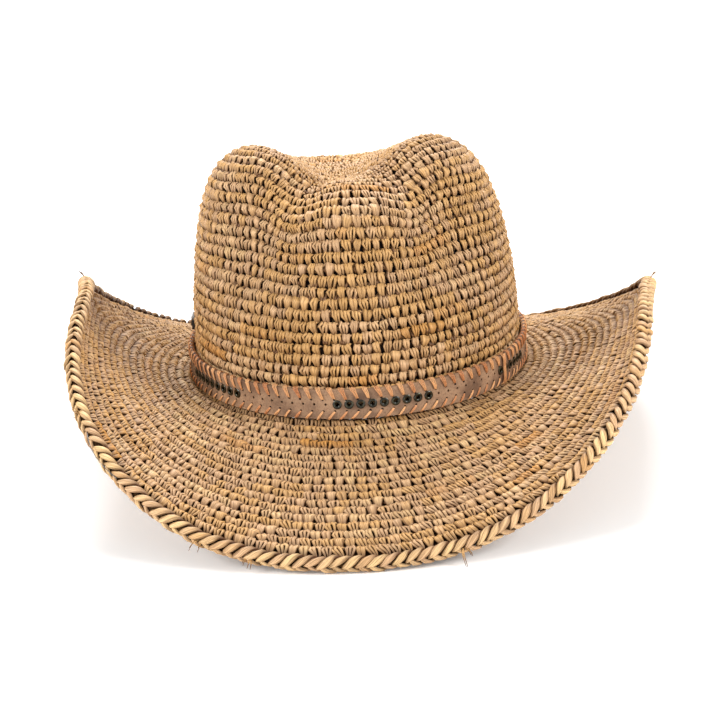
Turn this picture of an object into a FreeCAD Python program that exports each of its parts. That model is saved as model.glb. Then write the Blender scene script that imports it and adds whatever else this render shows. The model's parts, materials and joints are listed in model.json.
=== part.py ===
"""Crocheted raffia cowboy hat with a perforated, laced leather band.

Millimetres. The front of the hat faces -Y and +Z is up. Every piece is built around the head
line oval, whose centre is the origin, and the whole hat is then set down on its brim.
"""
import FreeCAD, Part
import math
import os

Vector = FreeCAD.Vector
doc = FreeCAD.newDocument("CowboyHat")

# ---------------------------------------------------------------- driving dimensions
sheet = doc.addObject("Spreadsheet::Sheet", "Sizes")
dimensions = {
    # head line and crown
    "headLength": 204.0, "headWidth": 172.0, "crownHeight": 133.5, "crownWall": 3.2,
    "shoulderLeft": 4.2, "shoulderRight": 3.73, "taperLeft": 0.08, "taperRight": 0.13,
    "taperEnds": 0.24, "crownLean": 4.8, "topSlope": 0.126, "tipHole": 2.4,
    # crease on top, and the dents on the two front sides
    "creaseYaw": 4.7, "creaseShift": -5.5, "creaseWidth": 30.7, "creaseBack": 20.0,
    "creaseMiddle": 34.0, "creaseFront": 29.9, "frontHollow": 5.0,
    "dentLeft": -42.0, "dentRight": 46.0, "dentDepth": 14.0, "dentSpread": 17.0,
    "dentLevel": 0.62, "dentRise": 0.17, "tuckLeft": -25.0, "tuckRight": 33.0,
    "tuckDrop": 8.0, "tuckSpread": 9.0,
    # brim
    "brimWall": 3.6, "brimFront": 103.8, "brimSide": 80.0, "brimDroop": 21.3,
    "startLeft": 9.7, "startRight": 7.3, "curlLeft": 80.9, "curlRight": 54.6, "tipCurl": 18.5,
    "curlShare": 1.36, "curlOnset": 1.38, "skewLeft": -7.1, "skewRight": -9.1,
    # edging, wire and sleeve
    "edgingDiameter": 7.8, "edgingBore": 3.4, "edgingSlit": 0.8, "wireDiameter": 1.8,
    "sleeveDiameter": 2.8, "sleeveBore": 2.2, "sleeveLength": 8.0,
    # sweatband
    "sweatHeight": 30.0, "sweatWall": 1.4, "sweatStart": 2.0, "sweatStitches": 72.0,
    "sweatThread": 0.7,
    # leather band and what is set into it
    "bandHeight": 15.0, "bandWall": 1.8, "bandGap": 1.65, "bandLift": 2.1,
    "bandPitches": 104.0, "groupSize": 9.0, "seamAngle": 58.0, "seamGap": 0.6,
    "punchDiameter": 1.3, "eyeletHole": 3.2, "eyeletBarrel": 3.0, "eyeletBore": 2.0,
    "eyeletFlange": 4.7, "eyeletRim": 0.5, "lacingDiameter": 1.25, "topReach": 5.0,
    "bottomReach": 3.4, "tackDiameter": 1.0, "tackCount": 6.0,
    # small dark tab sewn to the crown above the band
    "tabWidth": 12.0, "tabHeight": 7.0, "tabWall": 1.4, "tabAngle": -87.0, "tabRise": 28.0,
    "tabThread": 0.8,
    # clearances
    "softGap": 0.3, "slipGap": 0.1,
}
for row, (alias, value) in enumerate(dimensions.items(), start=1):
    sheet.set("A%d" % row, alias)
    sheet.set("B%d" % row, str(value))
    sheet.setAlias("B%d" % row, alias)
doc.recompute()


def size(alias):
    return float(sheet.get(alias))


halfLength = size("headLength") / 2
halfWidth = size("headWidth") / 2
crownHeight = size("crownHeight")
crownWall = size("crownWall")
brimWall = size("brimWall")
softGap = size("softGap")
FULL = 2 * math.pi
UP = Vector(0, 0, 1)


# ---------------------------------------------------------------- small helpers
def mix(first, second, share):
    return first + (second - first) * share


def smooth(value, low, high):
    share = min(max((value - low) / (high - low), 0.0), 1.0)
    return share * share * (3 - 2 * share)


def bell(value, spread):
    return math.exp(-0.5 * (value / spread) ** 2)


def around(count, start=0.0):
    return [start + FULL * step / count for step in range(count)]


def closedSolid(rings):
    """Solid inside a surface that closes on itself along both directions of a grid of points."""
    along, across = len(rings), len(rings[0])
    surface = Part.BSplineSurface()
    surface.buildFromPolesMultsKnots(rings, [1] * (along + 1), [1] * (across + 1),
                                     list(range(along + 1)), list(range(across + 1)),
                                     True, True, 3, 3)
    return Part.makeSolid(Part.makeShell([surface.toShape()]))


def roundSection(centre, sideways, upward, radius, count=8, start=0.0, turn=FULL):
    """Points of an arc about a centre, set out so that the smooth curve has the radius."""
    step = turn / (count if turn == FULL else count - 1)
    reach = radius * 3 / (2 + math.cos(step))
    return [centre + sideways * (reach * math.cos(start + step * k))
            + upward * (reach * math.sin(start + step * k)) for k in range(count)]


def tubeSolid(centres, cores, radius, count=6):
    """Closed round cord through the centres; each core point says which way is inward."""
    rings = []
    total = len(centres)
    for index, centre in enumerate(centres):
        along = (centres[(index + 1) % total] - centres[index - 1]).normalize()
        outward = centre - cores[index]
        outward = (outward - along * outward.dot(along)).normalize()
        rings.append(roundSection(centre, outward, along.cross(outward), radius, count))
    return closedSolid(rings)


def keep(name, shape):
    """A sub-part whose free-form shape no ordinary feature gives."""
    piece = doc.addObject("Part::Feature", name)
    piece.Shape = shape
    return piece


# ---------------------------------------------------------------- head line oval
def ovalPoint(angle, offset=0.0, height=0.0):
    """Point at a parameter angle of the head line, moved outward by an offset."""
    return Vector(halfWidth * math.sin(angle), -halfLength * math.cos(angle),
                  height) + ovalNormal(angle) * offset


def ovalNormal(angle):
    return Vector(math.sin(angle) / halfWidth, -math.cos(angle) / halfLength, 0).normalize()


def pitchAngles(count, start, offset):
    """Parameter angles of points that are evenly spaced along the oval."""
    fine = 40 * count
    angles = [start + FULL * step / fine for step in range(fine + 1)]
    lengths = [0.0]
    for first, second in zip(angles, angles[1:]):
        chord = (ovalPoint(second, offset) - ovalPoint(first, offset)).Length
        lengths.append(lengths[-1] + chord)
    found = []
    place = 0
    for index in range(count):
        target = lengths[-1] * index / count
        while lengths[place + 1] < target:
            place += 1
        share = (target - lengths[place]) / (lengths[place + 1] - lengths[place])
        found.append(mix(angles[place], angles[place + 1], share))
    return found


# ---------------------------------------------------------------- crown
def plainDome(angle, climb):
    """Crown before it is creased; climb runs from 0 at the head line to 90 degrees at the tip."""
    rightness = smooth(math.sin(angle), -0.6, 0.6)
    power = mix(size("shoulderLeft"), size("shoulderRight"), rightness)
    taper = mix(size("taperLeft"), size("taperRight"), rightness)
    reach = (math.cos(climb) ** power + abs(math.sin(climb)) ** power) ** (-1 / power)
    inward, rise = reach * math.cos(climb), reach * math.sin(climb)
    forward = inward * math.cos(angle)
    return Vector(halfWidth * (1 - taper * rise ** 2) * inward * math.sin(angle),
                  -halfLength * (1 - size("taperEnds") * rise ** 2) * forward
                  + size("crownLean") * rise ** 2,
                  crownHeight * rise * (1 + size("topSlope") * forward * rise ** 2))


def surfaceNormal(surface, first, second, step=1e-3):
    across = surface(first + step, second) - surface(first - step, second)
    along = surface(first, second + step) - surface(first, second - step)
    return across.cross(along).normalize()


def angleFrom(angle, degreesAway):
    return (angle - math.radians(degreesAway) + math.pi) % FULL - math.pi


def crownLevel(point):
    """Share of the crown's height, with the top's slope to the back taken out."""
    forward = min(max(-point.y / halfLength, -1.0), 1.0)
    share = min(point.z / crownHeight, 1.0)
    return point.z / crownHeight / (1 + size("topSlope") * forward * share ** 2)


def crownPoint(angle, climb):
    """Outer face of the blocked crown."""
    point = plainDome(angle, climb)
    normal = surfaceNormal(plainDome, angle, climb)
    level = crownLevel(point)
    yaw = math.radians(size("creaseYaw"))
    across = (point.x - size("creaseShift")) * math.cos(yaw) + point.y * math.sin(yaw)
    forward = -point.y / halfLength
    power = mix(2.0, 3.5, smooth(forward, -0.2, 0.75))
    groove = math.exp(-0.5 * abs(across / size("creaseWidth")) ** power)
    depth = (size("creaseBack")
             + (size("creaseMiddle") - size("creaseBack")) * smooth(forward, -0.9, 0.0)
             + (size("creaseFront") - size("creaseMiddle")) * smooth(forward, 0.0, 0.8))
    face = size("frontHollow") * smooth(level, 0.35, 0.85) if forward > 0 else 0.0
    depth = mix(face, depth, smooth(level, 0.70, 0.97))
    moved = point - normal * (depth * groove)
    radius = math.hypot(point.x, point.y)
    outward = Vector(point.x / radius, point.y / radius, 0)
    for dent, tuck in (("dentLeft", "tuckLeft"), ("dentRight", "tuckRight")):
        sideways = bell(angleFrom(angle, size(dent)), math.radians(size("dentSpread")))
        upright = bell(level - size("dentLevel"), size("dentRise"))
        moved -= outward * (size("dentDepth") * sideways * upright)
        fold = bell(angleFrom(angle, size(tuck)), math.radians(size("tuckSpread")))
        above = smooth(level, size("dentLevel") - 0.2, size("dentLevel") + 0.2)
        moved.z -= size("tuckDrop") * fold * above * smooth(radius, 25.0, 75.0)
    return moved


def crownInside(angle, climb, inset):
    return crownPoint(angle, climb) - surfaceNormal(crownPoint, angle, climb) * inset


def climbAt(height):
    """Climb angle at which the upright part of the wall passes a height."""
    return math.atan(height / crownHeight)


def makeCrown():
    rows = 30
    last = math.atan(halfWidth / (size("tipHole") / 2))
    climbs = [last * row / (rows - 1) for row in range(rows)]
    rings = []
    for angle in around(96):
        outside = [crownPoint(angle, climb) for climb in climbs]
        inside = [crownInside(angle, climb, crownWall) for climb in climbs]
        rings.append(outside + inside[::-1])
    return keep("crown", closedSolid(rings))


def wallRing(low, high, nearFace, farFace, rows=5):
    """Strip that follows the inside of the crown wall between two heights."""
    rings = []
    for angle in around(96):
        climbs = [climbAt(mix(low, high, row / (rows - 1))) for row in range(rows)]
        near = [crownInside(angle, climb, nearFace) for climb in climbs]
        middle = (nearFace + farFace) / 2
        far = [crownInside(angle, climb, farFace) for climb in climbs]
        rings.append(near + [crownInside(angle, climbs[-1], middle)] + far[::-1]
                     + [crownInside(angle, climbs[0], middle)])
    return closedSolid(rings)


# ---------------------------------------------------------------- brim
def brimSlope(angle, reach):
    """Upward slope of the brim; reach runs from 0 at the head line to 1 at the edge."""
    rightness = smooth(math.sin(angle), -1, 1)
    skew = mix(size("skewLeft"), size("skewRight"), rightness)
    sideShare = (math.sin(angle - math.radians(skew) * math.sin(angle)) ** 2) ** size("curlShare")
    curl = mix(size("curlLeft"), size("curlRight"), rightness)
    start = mix(size("startLeft"), size("startRight"), rightness)
    side = (start + (curl - start) * reach ** size("curlOnset")
            + size("tipCurl") * smooth(reach, 0.7, 1.0))
    return math.radians(mix(-size("brimDroop"), side, sideShare))


def brimPoint(angle, reach):
    """Top face of the brim."""
    width = mix(size("brimFront"), size("brimSide"), math.sin(angle) ** 2)
    steps = 24
    point = ovalPoint(angle)
    normal = ovalNormal(angle)
    for step in range(steps):
        slope = brimSlope(angle, reach * (step + 0.5) / steps)
        stride = width * reach / steps
        point += normal * (math.cos(slope) * stride) + UP * (math.sin(slope) * stride)
    return point


def brimFrame(angle, reach):
    """Top-face point, the outward direction along the brim and the upward normal."""
    point = brimPoint(angle, reach)
    outward = (brimPoint(angle, reach + 1e-3) - brimPoint(angle, reach - 1e-3)).normalize()
    sideways = brimPoint(angle + 1e-3, reach) - brimPoint(angle - 1e-3, reach)
    upward = outward.cross(sideways).normalize()
    return point, outward, upward


def edgeFrame(angle):
    """Centre line of the edging, at half the brim's thickness."""
    point, outward, upward = brimFrame(angle, 1.0)
    return point - upward * (brimWall / 2), outward, upward


def makeBrim():
    rows = 18
    rings = []
    for angle in around(120):
        width = mix(size("brimFront"), size("brimSide"), math.sin(angle) ** 2)
        end = 1 - size("edgingDiameter") / 2 / width
        inner = ovalPoint(angle, -crownWall)
        top, bottom = [inner], [inner - UP * brimWall]
        for row in range(rows):
            point, _, upward = brimFrame(angle, mix(0.012, end, row / (rows - 1)))
            top.append(point)
            bottom.append(point - upward * brimWall)
        middle = (top[-1] + bottom[-1]) / 2
        rings.append(top + [middle] + bottom[::-1] + [inner - UP * (brimWall / 2)])
    return keep("brim", closedSolid(rings))


def makeEdging():
    """Thick rolled row around the brim's edge, open along a slit that the brim meets."""
    outer, bore = size("edgingDiameter") / 2, size("edgingBore") / 2
    rings = []
    for angle in around(160):
        centre, outward, upward = edgeFrame(angle)
        inward = outward * -1
        slitOuter = math.asin(size("edgingSlit") / 2 / outer)
        slitInner = math.asin(size("edgingSlit") / 2 / bore)
        shell = roundSection(centre, inward, upward, outer, 16, slitOuter, FULL - 2 * slitOuter)
        core = roundSection(centre, inward, upward, bore, 10, slitInner, FULL - 2 * slitInner)
        rings.append(shell + core[::-1])
    return keep("brim_edging", closedSolid(rings))


def makeWire():
    centres, cores = [], []
    for angle in around(160):
        centre, outward, _ = edgeFrame(angle)
        centres.append(centre)
        cores.append(centre - outward)
    return keep("brim_wire", tubeSolid(centres, cores, size("wireDiameter") / 2, 8))


def makeSleeve():
    """Crimped sleeve over the wire's two ends, at the middle of the back."""
    tube = doc.addObject("Part::Cylinder", "sleeveTube")
    bore = doc.addObject("Part::Cylinder", "sleeveHole")
    for cylinder, width in ((tube, "sleeveDiameter"), (bore, "sleeveBore")):
        cylinder.setExpression("Radius", "Sizes.%s / 2" % width)
        cylinder.setExpression("Height", "Sizes.sleeveLength")
    sleeve = doc.addObject("Part::Cut", "wire_sleeve")
    sleeve.Base = tube
    sleeve.Tool = bore
    centre = edgeFrame(math.pi)[0]
    length = size("sleeveLength")
    along = (edgeFrame(math.pi + 0.03)[0] - edgeFrame(math.pi - 0.03)[0]).normalize()
    sleeve.Placement = FreeCAD.Placement(centre - along * (length / 2),
                                         FreeCAD.Rotation(UP, along))
    return sleeve


# ---------------------------------------------------------------- sweatband
def makeSweatband():
    near = crownWall + softGap
    low = size("sweatStart")
    return keep("sweatband", wallRing(low, low + size("sweatHeight"), near,
                                      near + size("sweatWall")))


def makeSweatStitches():
    """Short stitches along the sweatband's lower edge, on its inner face."""
    radius = size("sweatThread") / 2
    inset = crownWall + softGap + size("sweatWall") + size("slipGap") + radius
    level = size("sweatStart") + 3.0
    count = int(size("sweatStitches"))
    stitches = []
    for angle in pitchAngles(count, 0.0, -inset):
        centre = crownInside(angle, climbAt(level), inset)
        along = ovalNormal(angle).cross(UP)
        stitches.append(Part.makeCylinder(radius, 4.0, centre - along * 2.0, along))
    return keep("sweatband_stitches", Part.makeCompound(stitches))


# ---------------------------------------------------------------- leather band
bandInner = size("bandGap")
bandOuter = bandInner + size("bandWall")
bandMiddle = (bandInner + bandOuter) / 2
bandLow = size("bandLift")
bandTop = bandLow + size("bandHeight")
bandCentre = (bandLow + bandTop) / 2
pitchCount = int(size("bandPitches"))
seamAngle = math.radians(size("seamAngle"))
bandAngles = pitchAngles(pitchCount, seamAngle, bandOuter)
groupSize = int(size("groupSize"))


def bandAngle(place):
    """Angle at a place counted in pitches from the seam; places between pitches are allowed."""
    whole = math.floor(place)
    first = bandAngles[whole % pitchCount] + FULL * (whole // pitchCount)
    second = bandAngles[(whole + 1) % pitchCount] + FULL * ((whole + 1) // pitchCount)
    return mix(first, second, place - whole)


def holeAngle(index):
    """Holes sit at the middle of each pitch, counted from the seam."""
    return bandAngle(index + 0.5)


def isEyelet(index):
    """Counted back from the far end: one eyelet, then holes and eyelets by turns in groups."""
    place = pitchCount - 1 - index
    return place == 0 or place // groupSize % 2 == 1


def radialCylinder(angle, radius, start, length, height):
    return Part.makeCylinder(radius, length, ovalPoint(angle, start, height), ovalNormal(angle))


def ovalRing(name, inner, outer, low, height):
    """Upright oval ring as a body: two ellipses in one sketch, padded."""
    body = doc.addObject("PartDesign::Body", name)
    sketch = body.newObject("Sketcher::SketchObject", name + "Outline")
    plane = [item for item in body.Origin.OriginFeatures if item.Role == "XY_Plane"][0]
    sketch.AttachmentSupport = (plane, [""])
    sketch.MapMode = "FlatFace"
    sketch.setExpression("AttachmentOffset.Base.z", low)
    quarter = FreeCAD.Rotation(UP, 90)
    for offset in (inner, outer):
        oval = Part.Ellipse(Vector(), halfLength + size(offset[0]) + offset[1],
                            halfWidth + size(offset[0]) + offset[1])
        turned = oval.toShape()
        turned.Placement = FreeCAD.Placement(Vector(), quarter)
        sketch.addGeometry(turned.Curve, False)
    pad = body.newObject("PartDesign::Pad", name + "Pad")
    pad.Profile = sketch
    pad.setExpression("Length", height)
    body.Tip = pad
    return body


def makeBand():
    """Leather strap: its two ends meet at the seam, and it is punched all the way round."""
    blank = ovalRing("bandBlank", ("bandGap", 0.0), ("bandGap", size("bandWall")),
                     "Sizes.bandLift", "Sizes.bandHeight")
    punches = []
    reach = size("bandWall") + 2.0
    for index in range(pitchCount):
        width = size("eyeletHole") if isEyelet(index) else size("punchDiameter")
        punches.append(radialCylinder(holeAngle(index), width / 2, bandInner - 1.0, reach,
                                      bandCentre))
    seam = Part.makeBox(size("seamGap"), reach, size("bandHeight") + 2)
    seam.translate(Vector(-size("seamGap") / 2, 0, 0))
    normal = ovalNormal(seamAngle)
    turn = math.degrees(math.atan2(normal.y, normal.x)) - 90
    seam.Placement = FreeCAD.Placement(ovalPoint(seamAngle, bandInner - 1.0, bandLow - 1.0),
                                       FreeCAD.Rotation(UP, turn)).multiply(seam.Placement)
    tools = keep("bandPunches", Part.makeCompound(punches + [seam]))
    band = doc.addObject("Part::Cut", "hat_band")
    band.Base = blank
    band.Tool = tools
    return band


def lacing(name, edge, side, reach, lean):
    """One cord whipped round an edge of the strap; side is 1 at the top edge, -1 at the bottom."""
    radius = size("lacingDiameter") / 2
    stand = size("bandWall") / 2 + radius + 0.08
    # share of a pitch along the band, outward from the strap's middle, and away from the edge
    turn = [(0.0, stand, -reach), (-0.5 * lean, stand, -0.5 * reach), (-lean, stand, -0.2),
            (-lean - 0.08, 0.0, radius + 0.25), (-lean - 0.16, -stand, -0.2),
            (-0.5 - 0.5 * lean, -stand, -0.5 * reach), (-1.0, -stand, -reach),
            (-1.0, 0.0, -reach - 0.4)]
    centres, cores = [], []
    for index in range(pitchCount):
        for along, outward, away in turn:
            angle = bandAngle(along - index)
            centres.append(ovalPoint(angle, bandMiddle + outward, edge + side * away))
            cores.append(ovalPoint(angle, bandMiddle, edge - side * reach * 0.5))
    return keep(name, tubeSolid(centres, cores, radius, 10))


def makeTopLacing():
    return lacing("band_top_lacing", bandTop, 1, size("topReach"), 0.62)


def makeBottomLacing():
    return lacing("band_bottom_lacing", bandLow, -1, size("bottomReach"), 0.62)


def makeSeamWrap():
    """Two turns of cord over the seam, each a closed upright loop round the strap."""
    radius = size("lacingDiameter") / 2
    stand = size("bandWall") / 2 + size("lacingDiameter") * 1.5 + 0.2
    back = size("bandWall") / 2 + radius + 0.08
    loops = []
    for share in (-0.12, 0.12):
        angle = bandAngle(share)
        outline = [(stand, bandLow), (stand, bandCentre), (stand, bandTop),
                   (0.0, bandTop + radius + 0.3), (-back, bandTop), (-back, bandCentre),
                   (-back, bandLow), (0.0, bandLow - radius - 0.3)]
        centres = [ovalPoint(angle, bandMiddle + out, level) for out, level in outline]
        cores = [ovalPoint(angle, bandMiddle, bandCentre)] * len(outline)
        loops.append(tubeSolid(centres, cores, radius))
    return keep("band_seam_wrap", Part.makeCompound(loops))


def makeEyelet():
    """One eyelet, standing on the XY plane: a rolled rim with a barrel below it."""
    body = doc.addObject("PartDesign::Body", "eyeletPattern")
    sketch = body.newObject("Sketcher::SketchObject", "eyeletProfile")
    plane = [item for item in body.Origin.OriginFeatures if item.Role == "XZ_Plane"][0]
    sketch.AttachmentSupport = (plane, [""])
    sketch.MapMode = "FlatFace"
    bore, barrel = size("eyeletBore") / 2, size("eyeletBarrel") / 2
    flange, rim = size("eyeletFlange") / 2, size("eyeletRim")
    depth = size("bandWall")
    outline = [(bore, -depth), (barrel, -depth), (barrel, 0), (flange, 0), (flange, rim * 0.5)]
    corner = [Vector(across, level, 0) for across, level in outline]
    for first, second in zip(corner, corner[1:]):
        sketch.addGeometry(Part.LineSegment(first, second), False)
    crest = Vector((bore + flange) / 2, rim, 0)
    mouth = Vector(bore, rim * 0.5, 0)
    sketch.addGeometry(Part.Arc(corner[-1], crest, mouth), False)
    sketch.addGeometry(Part.LineSegment(mouth, corner[0]), False)
    ring = body.newObject("PartDesign::Revolution", "eyeletRing")
    ring.Profile = sketch
    ring.ReferenceAxis = (sketch, ["V_Axis"])
    ring.Angle = 360
    body.Tip = ring
    doc.recompute()
    return body


def makeEyelets():
    """Each run of eyelets between the plain holes is one node."""
    pattern = makeEyelet()
    names = ["eyelets_front", "eyelets_left", "eyelets_rear_left", "eyelets_rear",
             "eyelets_rear_right", "eyelets_right"]
    runs = {"eyelet_single": [pitchCount - 1]}
    for turn, name in enumerate(names):
        first = pitchCount - 1 - groupSize * (2 * turn + 1)
        runs[name] = [index for index in range(first, first - groupSize, -1) if index >= 0]
    found = []
    for name, places in runs.items():
        copies = []
        for index in places:
            angle = holeAngle(index)
            seat = ovalPoint(angle, bandOuter + size("slipGap") / 2, bandCentre)
            copy = pattern.Shape.copy()
            copy.Placement = FreeCAD.Placement(seat, FreeCAD.Rotation(UP, ovalNormal(angle)))
            copies.append(copy)
        found.append(keep(name, Part.makeCompound(copies)))
    return found


def makeTacks():
    """Thread tacks through the crown wall that hold the strap in place."""
    radius = size("tackDiameter") / 2
    tacks = []
    for step in range(int(size("tackCount"))):
        angle = bandAngle(pitchCount * (step + 0.5) / size("tackCount") + 0.5)
        reach = crownWall + bandInner + 1.0
        tacks.append(radialCylinder(angle, radius, -crownWall - 0.2, reach,
                                    bandLow + size("bandHeight") * 0.35))
    return keep("band_tacks", Part.makeCompound(tacks))


# ---------------------------------------------------------------- side tab
tabTurn = math.radians(size("tabAngle"))


def tabPlacement():
    """Seat on the crown's outer face: local Z points out of the crown and local Y up it."""
    climb = climbAt(size("tabRise"))
    normal = surfaceNormal(crownPoint, tabTurn, climb)
    up = (UP - normal * UP.dot(normal)).normalize()
    seat = crownPoint(tabTurn, climb) + normal * softGap
    return FreeCAD.Placement(seat, FreeCAD.Rotation(up.cross(normal), up, normal, "ZXY"))


def makeTab():
    """Blank tab with rounded corners."""
    body = doc.addObject("PartDesign::Body", "side_tab")
    sketch = body.newObject("Sketcher::SketchObject", "tabOutline")
    plane = [item for item in body.Origin.OriginFeatures if item.Role == "XY_Plane"][0]
    sketch.AttachmentSupport = (plane, [""])
    sketch.MapMode = "FlatFace"
    wide, tall = size("tabWidth") / 2, size("tabHeight") / 2
    corner = [Vector(-wide, -tall, 0), Vector(wide, -tall, 0), Vector(wide, tall, 0),
              Vector(-wide, tall, 0)]
    for first, second in zip(corner, corner[1:] + corner[:1]):
        sketch.addGeometry(Part.LineSegment(first, second), False)
    pad = body.newObject("PartDesign::Pad", "tabPad")
    pad.Profile = sketch
    pad.setExpression("Length", "Sizes.tabWall")
    doc.recompute()
    rounding = body.newObject("PartDesign::Fillet", "tabCorners")
    upright = [index for index, edge in enumerate(pad.Shape.Edges, start=1)
               if abs(edge.tangentAt(edge.FirstParameter).z) > 0.9]
    rounding.Base = (pad, ["Edge%d" % index for index in upright])
    rounding.Radius = 1.2
    body.Tip = rounding
    body.Placement = tabPlacement()
    return body


def makeTabStitches():
    """Two stitches through the tab into the crown."""
    seat = tabPlacement()
    radius = size("tabThread") / 2
    offset = size("tabWidth") / 2 - 2.0
    stitches = []
    for side in (-1, 1):
        low = seat.multVec(Vector(side * offset, -1.4, size("tabWall") + radius + 0.02))
        high = seat.multVec(Vector(side * offset, 1.4, size("tabWall") + radius + 0.02))
        stitches.append(Part.makeCylinder(radius, (high - low).Length, low, high - low))
    return keep("side_tab_stitches", Part.makeCompound(stitches))


makers = [makeCrown, makeBrim, makeEdging, makeWire, makeSleeve, makeSweatband,
          makeSweatStitches, makeBand, makeTopLacing, makeBottomLacing, makeSeamWrap,
          makeTacks, makeTab, makeTabStitches]
pieces = [maker() for maker in makers] + makeEyelets()
doc.recompute()

# ---------------------------------------------------------------- set the hat on its brim
box = FreeCAD.BoundBox()
for piece in pieces:
    box.add(piece.Shape.BoundBox)
drop = Vector(-box.Center.x, -box.Center.y, -box.ZMin)
for piece in pieces:
    piece.Placement = FreeCAD.Placement(drop, FreeCAD.Rotation()).multiply(piece.Placement)
doc.recompute()

# ---------------------------------------------------------------- check and write
os.makedirs("parts", exist_ok=True)
for item in doc.Objects:
    if "Invalid" in item.State or "Error" in item.State:
        raise RuntimeError("%s failed: %s" % (item.Label, item.State))
for piece in pieces:
    shape = piece.Shape
    if shape.isNull() or not shape.isValid():
        raise RuntimeError("%s has no valid shape" % piece.Label)
    print(piece.Label, len(shape.Solids), round(shape.Volume), shape.BoundBox)
for piece in pieces:
    piece.Shape.exportStep("parts/%s.step" % piece.Label)
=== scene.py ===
import json
import math

import bmesh
import bpy
import numpy as np
from mathutils import Matrix, Vector

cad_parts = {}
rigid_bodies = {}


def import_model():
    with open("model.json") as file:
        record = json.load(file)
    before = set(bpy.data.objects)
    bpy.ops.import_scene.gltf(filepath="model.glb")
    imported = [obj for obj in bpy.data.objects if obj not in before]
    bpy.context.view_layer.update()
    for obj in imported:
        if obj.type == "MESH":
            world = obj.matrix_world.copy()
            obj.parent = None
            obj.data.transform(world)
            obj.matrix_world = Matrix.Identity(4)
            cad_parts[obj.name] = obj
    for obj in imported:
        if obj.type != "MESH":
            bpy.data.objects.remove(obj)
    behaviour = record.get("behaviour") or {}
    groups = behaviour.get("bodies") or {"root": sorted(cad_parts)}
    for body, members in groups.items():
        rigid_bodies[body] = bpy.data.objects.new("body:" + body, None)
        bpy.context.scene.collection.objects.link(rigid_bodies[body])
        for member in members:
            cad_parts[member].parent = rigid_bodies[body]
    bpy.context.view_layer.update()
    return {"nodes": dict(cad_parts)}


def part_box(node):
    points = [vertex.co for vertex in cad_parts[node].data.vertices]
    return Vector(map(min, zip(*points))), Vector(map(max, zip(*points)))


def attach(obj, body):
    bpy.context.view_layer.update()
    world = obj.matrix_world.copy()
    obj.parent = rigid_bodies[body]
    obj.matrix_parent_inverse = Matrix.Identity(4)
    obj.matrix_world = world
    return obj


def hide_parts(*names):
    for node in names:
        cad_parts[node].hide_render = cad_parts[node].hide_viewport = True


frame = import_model()
bandNear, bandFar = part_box("hat_band")
headCentre = np.array([(bandNear.x + bandFar.x) / 2, (bandNear.y + bandFar.y) / 2,
                       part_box("crown")[0].z])
fullTurn = 2 * math.pi
turnStep, reachStep = 0.002, 0.001    # small steps that give a direction along or across an edge
print("frame loaded, head line centre", np.round(headCentre, 4))


# small helpers
def mix(first, second, share):
    return first + (second - first) * share


def smooth(value, low, high):
    share = np.clip((value - low) / (high - low), 0, 1)
    return share * share * (3 - 2 * share)


def bell(value, spread):
    return np.exp(-0.5 * (value / spread) ** 2)


def unit(vectors):
    return vectors / np.linalg.norm(vectors, axis=-1, keepdims=True)


def lengthsAlong(line):
    return np.concatenate([[0], np.cumsum(np.linalg.norm(np.diff(line, axis=0), axis=1))])


def surfaceNormal(surface, first, second, step=1e-3):
    across = surface(first + step, second) - surface(first - step, second)
    along = surface(first, second + step) - surface(first, second - step)
    return unit(np.cross(across, along))


# the hat's own surfaces, in metres about the middle of the head line; angle 0 is the front
crownForm = {
    "halfLength": 0.102, "halfWidth": 0.086, "height": 0.1335, "wall": 0.0032,
    "shoulderLeft": 4.2, "shoulderRight": 3.73, "taperLeft": 0.08, "taperRight": 0.13,
    "taperEnds": 0.24, "lean": 0.0048, "topSlope": 0.126, "tipHole": 0.0024,
    "creaseYaw": 4.7, "creaseShift": -0.0055, "creaseWidth": 0.0307, "creaseBack": 0.020,
    "creaseMiddle": 0.034, "creaseFront": 0.0299, "frontHollow": 0.005,
    "dents": ((-42, -25), (46, 33)), "dentDepth": 0.014, "dentSpread": 17, "dentLevel": 0.62,
    "dentRise": 0.17, "tuckDrop": 0.008, "tuckSpread": 9,
}
topClimb = math.atan(crownForm["halfWidth"] / (crownForm["tipHole"] / 2))    # rim of the tip's hole


def plainDome(angle, climb):
    form = crownForm
    rightness = smooth(np.sin(angle), -0.6, 0.6)
    power = mix(form["shoulderLeft"], form["shoulderRight"], rightness)
    taper = mix(form["taperLeft"], form["taperRight"], rightness)
    reach = (np.abs(np.cos(climb)) ** power + np.abs(np.sin(climb)) ** power) ** (-1 / power)
    inward, rise = reach * np.cos(climb), reach * np.sin(climb)
    forward = inward * np.cos(angle)
    return np.stack([form["halfWidth"] * (1 - taper * rise ** 2) * inward * np.sin(angle),
                     form["lean"] * rise ** 2
                     - form["halfLength"] * (1 - form["taperEnds"] * rise ** 2) * forward,
                     form["height"] * rise * (1 + form["topSlope"] * forward * rise ** 2)], -1)


def angleFrom(angle, degreesAway):
    return (angle - math.radians(degreesAway) + math.pi) % fullTurn - math.pi


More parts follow.
